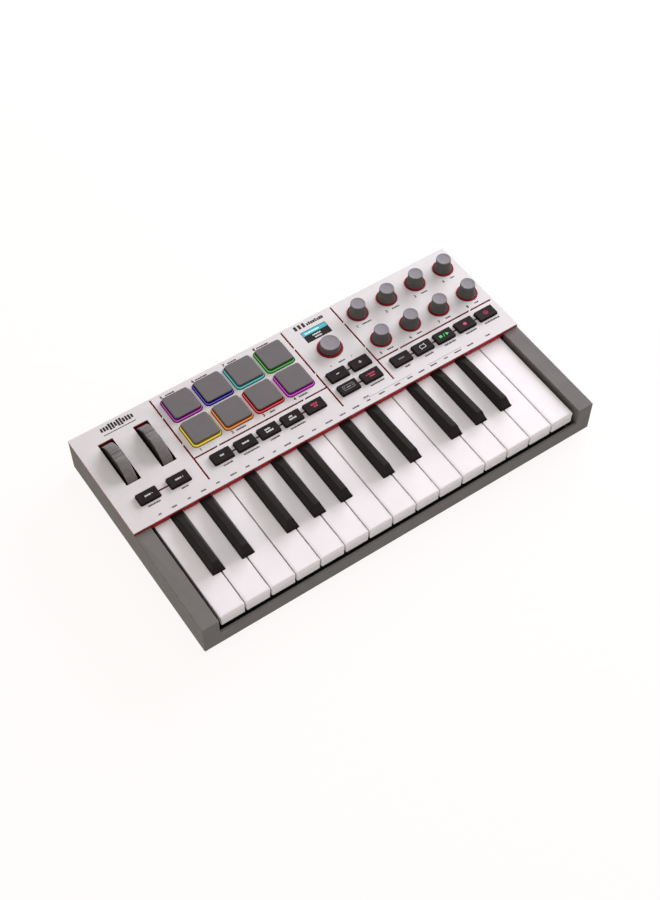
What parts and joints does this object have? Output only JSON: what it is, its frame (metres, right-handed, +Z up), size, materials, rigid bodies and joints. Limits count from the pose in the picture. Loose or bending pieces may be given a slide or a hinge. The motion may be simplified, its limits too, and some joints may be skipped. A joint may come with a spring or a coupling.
{
  "type": "controller keyboard",
  "caption": "Compact desktop music controller: piano-style keys in a grey case under a white panel with lit pads, knobs, wheels, buttons and a small screen.",
  "frame": {"origin": "centre of the case's plan, on the surface that the feet stand on", "axes": "+X towards the treble end, +Y from the player towards the back wall, +Z up"},
  "size_m": [0.355, 0.195, 0.0478],
  "materials": {
    "case_grey": "fine-grained matt warm grey plastic",
    "panel_white": "satin off-white face plate",
    "panel_red": "semi-gloss deep red plastic",
    "key_white": "semi-gloss white key plastic",
    "key_black": "satin charcoal key plastic",
    "pad_rubber": "matt grey silicone",
    "pad_light_yellow": "translucent silicone lit yellow",
    "pad_light_orange": "translucent silicone lit orange",
    "pad_light_red": "translucent silicone lit red",
    "pad_light_magenta": "translucent silicone lit magenta",
    "pad_light_purple": "translucent silicone lit purple",
    "pad_light_blue": "translucent silicone lit blue",
    "pad_light_teal": "translucent silicone lit teal",
    "pad_light_green": "translucent silicone lit green",
    "button_rubber": "near-black silicone",
    "knob_grey": "matt dark grey soft-touch plastic",
    "wheel_grey": "matt dark grey ribbed rubber",
    "screen_glass": "dark colour display behind a clear window",
    "ink_black": "printed black marks",
    "glyph_white": "printed white marks",
    "steel": "ground steel",
    "board_green": "green solder mask",
    "chassis_black": "black moulded plastic",
    "port_black": "black connector plastic",
    "foot_rubber": "black rubber"
  },
  "bodies": {
    "body": {"bottom_case": "case_grey", "panel_underlay": "panel_red", "top_panel": "panel_white", "key_chassis": "chassis_black", "key_pivot_rod": "steel", "wheel_bracket": "chassis_black", "circuit_boards": "board_green", "display_module": "screen_glass", "rear_ports": "port_black", "feet": "foot_rubber", "case_screws": "steel"},
    "pitch_wheel": {"pitch_wheel": "wheel_grey"},
    "mod_wheel": {"mod_wheel": "wheel_grey"},
    "encoder_shaft": {"encoder_shaft": "steel"},
    "encoder_knob": {"encoder_knob": "knob_grey"},
    "left_buttons": {"left_buttons": "button_rubber"},
    "pad_row_buttons": {"pad_row_buttons": "button_rubber"},
    "menu_buttons": {"menu_buttons": "button_rubber"},
    "transport_buttons": {"transport_buttons": "button_rubber"},
    "knob_1": {"knob_1": "knob_grey"},
    "knob_2": {"knob_2": "knob_grey"},
    "knob_3": {"knob_3": "knob_grey"},
    "knob_4": {"knob_4": "knob_grey"},
    "knob_5": {"knob_5": "knob_grey"},
    "knob_6": {"knob_6": "knob_grey"},
    "knob_7": {"knob_7": "knob_grey"},
    "knob_8": {"knob_8": "knob_grey"},
    "pad_1": {"pad_1": "pad_light_yellow"},
    "pad_2": {"pad_2": "pad_light_orange"},
    "pad_3": {"pad_3": "pad_light_red"},
    "pad_4": {"pad_4": "pad_light_magenta"},
    "pad_5": {"pad_5": "pad_light_purple"},
    "pad_6": {"pad_6": "pad_light_blue"},
    "pad_7": {"pad_7": "pad_light_teal"},
    "pad_8": {"pad_8": "pad_light_green"},
    "white_key_1": {"white_key_1": "key_white"},
    "white_key_2": {"white_key_2": "key_white"},
    "white_key_3": {"white_key_3": "key_white"},
    "white_key_4": {"white_key_4": "key_white"},
    "white_key_5": {"white_key_5": "key_white"},
    "white_key_6": {"white_key_6": "key_white"},
    "white_key_7": {"white_key_7": "key_white"},
    "white_key_8": {"white_key_8": "key_white"},
    "white_key_9": {"white_key_9": "key_white"},
    "white_key_10": {"white_key_10": "key_white"},
    "white_key_11": {"white_key_11": "key_white"},
    "white_key_12": {"white_key_12": "key_white"},
    "white_key_13": {"white_key_13": "key_white"},
    "white_key_14": {"white_key_14": "key_white"},
    "white_key_15": {"white_key_15": "key_white"},
    "black_key_1": {"black_key_1": "key_black"},
    "black_key_2": {"black_key_2": "key_black"},
    "black_key_3": {"black_key_3": "key_black"},
    "black_key_4": {"black_key_4": "key_black"},
    "black_key_5": {"black_key_5": "key_black"},
    "black_key_6": {"black_key_6": "key_black"},
    "black_key_7": {"black_key_7": "key_black"},
    "black_key_8": {"black_key_8": "key_black"},
    "black_key_9": {"black_key_9": "key_black"},
    "black_key_10": {"black_key_10": "key_black"}
  },
  "joints": [
    {"name": "pitch_wheel_turn", "type": "hinge", "parent": "body", "child": "pitch_wheel", "pos_m": [-0.1545, 0.0591, 0.0198], "axis": [-1, 0, 0], "range_deg": [-30, 30], "stiffness_Nm_per_rad": 0.06},
    {"name": "mod_wheel_turn", "type": "hinge", "parent": "body", "child": "mod_wheel", "pos_m": [-0.1236, 0.0591, 0.0198], "axis": [-1, 0, 0], "range_deg": [-30, 30]},
    {"name": "encoder_push", "type": "slide", "parent": "body", "child": "encoder_shaft", "axis": [0, 0, -1], "range_m": [0, 0.0006], "stiffness_N_per_m": 2500, "springref_m": -0.0004},
    {"name": "encoder_turn", "type": "hinge", "parent": "encoder_shaft", "child": "encoder_knob", "pos_m": [0.0385, 0.0613, 0.0365], "axis": [0, 0, 1], "continuous": true},
    {"name": "knob_1_turn", "type": "hinge", "parent": "body", "child": "knob_1", "pos_m": [0.0776, 0.0788, 0.0362], "axis": [0, 0, 1], "continuous": true},
    {"name": "knob_2_turn", "type": "hinge", "parent": "body", "child": "knob_2", "pos_m": [0.10624, 0.0788, 0.0362], "axis": [0, 0, 1], "continuous": true},
    {"name": "knob_3_turn", "type": "hinge", "parent": "body", "child": "knob_3", "pos_m": [0.13488, 0.0788, 0.0362], "axis": [0, 0, 1], "continuous": true},
    {"name": "knob_4_turn", "type": "hinge", "parent": "body", "child": "knob_4", "pos_m": [0.16352, 0.0788, 0.0362], "axis": [0, 0, 1], "continuous": true},
    {"name": "knob_5_turn", "type": "hinge", "parent": "body", "child": "knob_5", "pos_m": [0.0776, 0.0461, 0.0362], "axis": [0, 0, 1], "continuous": true},
    {"name": "knob_6_turn", "type": "hinge", "parent": "body", "child": "knob_6", "pos_m": [0.10624, 0.0461, 0.0362], "axis": [0, 0, 1], "continuous": true},
    {"name": "knob_7_turn", "type": "hinge", "parent": "body", "child": "knob_7", "pos_m": [0.13488, 0.0461, 0.0362], "axis": [0, 0, 1], "continuous": true},
    {"name": "knob_8_turn", "type": "hinge", "parent": "body", "child": "knob_8", "pos_m": [0.16352, 0.0461, 0.0362], "axis": [0, 0, 1], "continuous": true},
    {"name": "pad_1_press", "type": "slide", "parent": "body", "child": "pad_1", "axis": [0, 0, -1], "range_m": [0, 0.001], "stiffness_N_per_m": 3000, "springref_m": -0.0003},
    {"name": "pad_2_press", "type": "slide", "parent": "body", "child": "pad_2", "axis": [0, 0, -1], "range_m": [0, 0.001], "stiffness_N_per_m": 3000, "springref_m": -0.0003},
    {"name": "pad_3_press", "type": "slide", "parent": "body", "child": "pad_3", "axis": [0, 0, -1], "range_m": [0, 0.001], "stiffness_N_per_m": 3000, "springref_m": -0.0003},
    {"name": "pad_4_press", "type": "slide", "parent": "body", "child": "pad_4", "axis": [0, 0, -1], "range_m": [0, 0.001], "stiffness_N_per_m": 3000, "springref_m": -0.0003},
    {"name": "pad_5_press", "type": "slide", "parent": "body", "child": "pad_5", "axis": [0, 0, -1], "range_m": [0, 0.001], "stiffness_N_per_m": 3000, "springref_m": -0.0003},
    {"name": "pad_6_press", "type": "slide", "parent": "body", "child": "pad_6", "axis": [0, 0, -1], "range_m": [0, 0.001], "stiffness_N_per_m": 3000, "springref_m": -0.0003},
    {"name": "pad_7_press", "type": "slide", "parent": "body", "child": "pad_7", "axis": [0, 0, -1], "range_m": [0, 0.001], "stiffness_N_per_m": 3000, "springref_m": -0.0003},
    {"name": "pad_8_press", "type": "slide", "parent": "body", "child": "pad_8", "axis": [0, 0, -1], "range_m": [0, 0.001], "stiffness_N_per_m": 3000, "springref_m": -0.0003},
    {"name": "left_buttons_press", "type": "slide", "parent": "body", "child": "left_buttons", "axis": [0, 0, -1], "range_m": [0, 0.0008], "stiffness_N_per_m": 1500, "springref_m": -0.0005},
    {"name": "pad_row_buttons_press", "type": "slide", "parent": "body", "child": "pad_row_buttons", "axis": [0, 0, -1], "range_m": [0, 0.0008], "stiffness_N_per_m": 1500, "springref_m": -0.0005},
    {"name": "menu_buttons_press", "type": "slide", "parent": "body", "child": "menu_buttons", "axis": [0, 0, -1], "range_m": [0, 0.0008], "stiffness_N_per_m": 1500, "springref_m": -0.0005},
    {"name": "transport_buttons_press", "type": "slide", "parent": "body", "child": "transport_buttons", "axis": [0, 0, -1], "range_m": [0, 0.0008], "stiffness_N_per_m": 1500, "springref_m": -0.0005},
    {"name": "white_key_1_press", "type": "hinge", "parent": "body", "child": "white_key_1", "pos_m": [0, 0.024, 0.02], "axis": [1, 0, 0], "range_deg": [0, 2.7], "stiffness_Nm_per_rad": 0.6, "springref_deg": -4.58},
    {"name": "white_key_2_press", "type": "hinge", "parent": "body", "child": "white_key_2", "pos_m": [0, 0.024, 0.02], "axis": [1, 0, 0], "range_deg": [0, 2.7], "stiffness_Nm_per_rad": 0.6, "springref_deg": -4.58},
    {"name": "white_key_3_press", "type": "hinge", "parent": "body", "child": "white_key_3", "pos_m": [0, 0.024, 0.02], "axis": [1, 0, 0], "range_deg": [0, 2.7], "stiffness_Nm_per_rad": 0.6, "springref_deg": -4.58},
    {"name": "white_key_4_press", "type": "hinge", "parent": "body", "child": "white_key_4", "pos_m": [0, 0.024, 0.02], "axis": [1, 0, 0], "range_deg": [0, 2.7], "stiffness_Nm_per_rad": 0.6, "springref_deg": -4.58},
    {"name": "white_key_5_press", "type": "hinge", "parent": "body", "child": "white_key_5", "pos_m": [0, 0.024, 0.02], "axis": [1, 0, 0], "range_deg": [0, 2.7], "stiffness_Nm_per_rad": 0.6, "springref_deg": -4.58},
    {"name": "white_key_6_press", "type": "hinge", "parent": "body", "child": "white_key_6", "pos_m": [0, 0.024, 0.02], "axis": [1, 0, 0], "range_deg": [0, 2.7], "stiffness_Nm_per_rad": 0.6, "springref_deg": -4.58},
    {"name": "white_key_7_press", "type": "hinge", "parent": "body", "child": "white_key_7", "pos_m": [0, 0.024, 0.02], "axis": [1, 0, 0], "range_deg": [0, 2.7], "stiffness_Nm_per_rad": 0.6, "springref_deg": -4.58},
    {"name": "white_key_8_press", "type": "hinge", "parent": "body", "child": "white_key_8", "pos_m": [0, 0.024, 0.02], "axis": [1, 0, 0], "range_deg": [0, 2.7], "stiffness_Nm_per_rad": 0.6, "springref_deg": -4.58},
    {"name": "white_key_9_press", "type": "hinge", "parent": "body", "child": "white_key_9", "pos_m": [0, 0.024, 0.02], "axis": [1, 0, 0], "range_deg": [0, 2.7], "stiffness_Nm_per_rad": 0.6, "springref_deg": -4.58},
    {"name": "white_key_10_press", "type": "hinge", "parent": "body", "child": "white_key_10", "pos_m": [0, 0.024, 0.02], "axis": [1, 0, 0], "range_deg": [0, 2.7], "stiffness_Nm_per_rad": 0.6, "springref_deg": -4.58},
    {"name": "white_key_11_press", "type": "hinge", "parent": "body", "child": "white_key_11", "pos_m": [0, 0.024, 0.02], "axis": [1, 0, 0], "range_deg": [0, 2.7], "stiffness_Nm_per_rad": 0.6, "springref_deg": -4.58},
    {"name": "white_key_12_press", "type": "hinge", "parent": "body", "child": "white_key_12", "pos_m": [0, 0.024, 0.02], "axis": [1, 0, 0], "range_deg": [0, 2.7], "stiffness_Nm_per_rad": 0.6, "springref_deg": -4.58},
    {"name": "white_key_13_press", "type": "hinge", "parent": "body", "child": "white_key_13", "pos_m": [0, 0.024, 0.02], "axis": [1, 0, 0], "range_deg": [0, 2.7], "stiffness_Nm_per_rad": 0.6, "springref_deg": -4.58},
    {"name": "white_key_14_press", "type": "hinge", "parent": "body", "child": "white_key_14", "pos_m": [0, 0.024, 0.02], "axis": [1, 0, 0], "range_deg": [0, 2.7], "stiffness_Nm_per_rad": 0.6, "springref_deg": -4.58},
    {"name": "white_key_15_press", "type": "hinge", "parent": "body", "child": "white_key_15", "pos_m": [0, 0.024, 0.02], "axis": [1, 0, 0], "range_deg": [0, 2.7], "stiffness_Nm_per_rad": 0.6, "springref_deg": -4.58},
    {"name": "black_key_1_press", "type": "hinge", "parent": "body", "child": "black_key_1", "pos_m": [0, 0.024, 0.02], "axis": [1, 0, 0], "range_deg": [0, 2.7], "stiffness_Nm_per_rad": 0.6, "springref_deg": -4.58},
    {"name": "black_key_2_press", "type": "hinge", "parent": "body", "child": "black_key_2", "pos_m": [0, 0.024, 0.02], "axis": [1, 0, 0], "range_deg": [0, 2.7], "stiffness_Nm_per_rad": 0.6, "springref_deg": -4.58},
    {"name": "black_key_3_press", "type": "hinge", "parent": "body", "child": "black_key_3", "pos_m": [0, 0.024, 0.02], "axis": [1, 0, 0], "range_deg": [0, 2.7], "stiffness_Nm_per_rad": 0.6, "springref_deg": -4.58},
    {"name": "black_key_4_press", "type": "hinge", "parent": "body", "child": "black_key_4", "pos_m": [0, 0.024, 0.02], "axis": [1, 0, 0], "range_deg": [0, 2.7], "stiffness_Nm_per_rad": 0.6, "springref_deg": -4.58},
    {"name": "black_key_5_press", "type": "hinge", "parent": "body", "child": "black_key_5", "pos_m": [0, 0.024, 0.02], "axis": [1, 0, 0], "range_deg": [0, 2.7], "stiffness_Nm_per_rad": 0.6, "springref_deg": -4.58},
    {"name": "black_key_6_press", "type": "hinge", "parent": "body", "child": "black_key_6", "pos_m": [0, 0.024, 0.02], "axis": [1, 0, 0], "range_deg": [0, 2.7], "stiffness_Nm_per_rad": 0.6, "springref_deg": -4.58},
    {"name": "black_key_7_press", "type": "hinge", "parent": "body", "child": "black_key_7", "pos_m": [0, 0.024, 0.02], "axis": [1, 0, 0], "range_deg": [0, 2.7], "stiffness_Nm_per_rad": 0.6, "springref_deg": -4.58},
    {"name": "black_key_8_press", "type": "hinge", "parent": "body", "child": "black_key_8", "pos_m": [0, 0.024, 0.02], "axis": [1, 0, 0], "range_deg": [0, 2.7], "stiffness_Nm_per_rad": 0.6, "springref_deg": -4.58},
    {"name": "black_key_9_press", "type": "hinge", "parent": "body", "child": "black_key_9", "pos_m": [0, 0.024, 0.02], "axis": [1, 0, 0], "range_deg": [0, 2.7], "stiffness_Nm_per_rad": 0.6, "springref_deg": -4.58},
    {"name": "black_key_10_press", "type": "hinge", "parent": "body", "child": "black_key_10", "pos_m": [0, 0.024, 0.02], "axis": [1, 0, 0], "range_deg": [0, 2.7], "stiffness_Nm_per_rad": 0.6, "springref_deg": -4.58}
  ]
}
